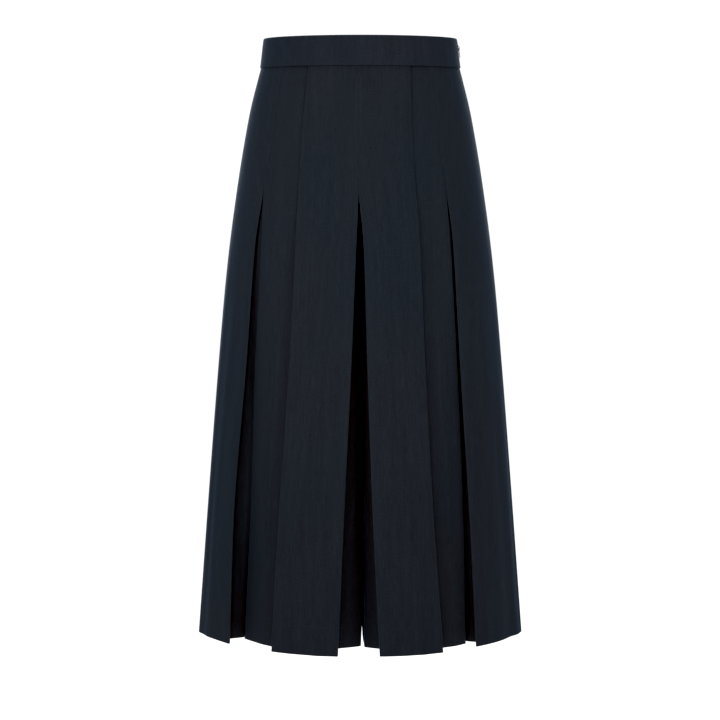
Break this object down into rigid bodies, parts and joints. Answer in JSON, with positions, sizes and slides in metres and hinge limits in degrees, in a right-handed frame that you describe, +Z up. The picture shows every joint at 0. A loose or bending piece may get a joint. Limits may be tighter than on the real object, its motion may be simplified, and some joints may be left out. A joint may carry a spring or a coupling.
{
  "type": "pleated culottes",
  "caption": "Midi-length culottes with a plain waistband, pleats sewn down to the hip and opening below, and a concealed side zip, standing filled out as worn.",
  "frame": {"origin": "centre of the waist, half-way up the waistband", "axes": "+Z up, the front faces -Y, the wearer's left side with the zip is +X"},
  "size_m": [0.441, 0.266, 0.8],
  "materials": {
    "band_cloth": "matte fine twill, faced and stiffened",
    "leg_cloth": "matte fine twill with pressed pleats",
    "zip_metal": "dark satin paint"
  },
  "bodies": {
    "culottes": {"waistband_front": "band_cloth", "waistband_back": "band_cloth", "front_right": "leg_cloth", "front_left": "leg_cloth", "back_right": "leg_cloth", "back_left": "leg_cloth", "zip_slider": "zip_metal"},
    "pull": {"zip_pull": "zip_metal"}
  },
  "joints": [
    {"name": "zip_pull_swing", "type": "hinge", "parent": "culottes", "child": "pull", "pos_m": [0.13037, 0, 0.00816], "axis": [0, -1, 0], "range_deg": [0, 170]}
  ]
}
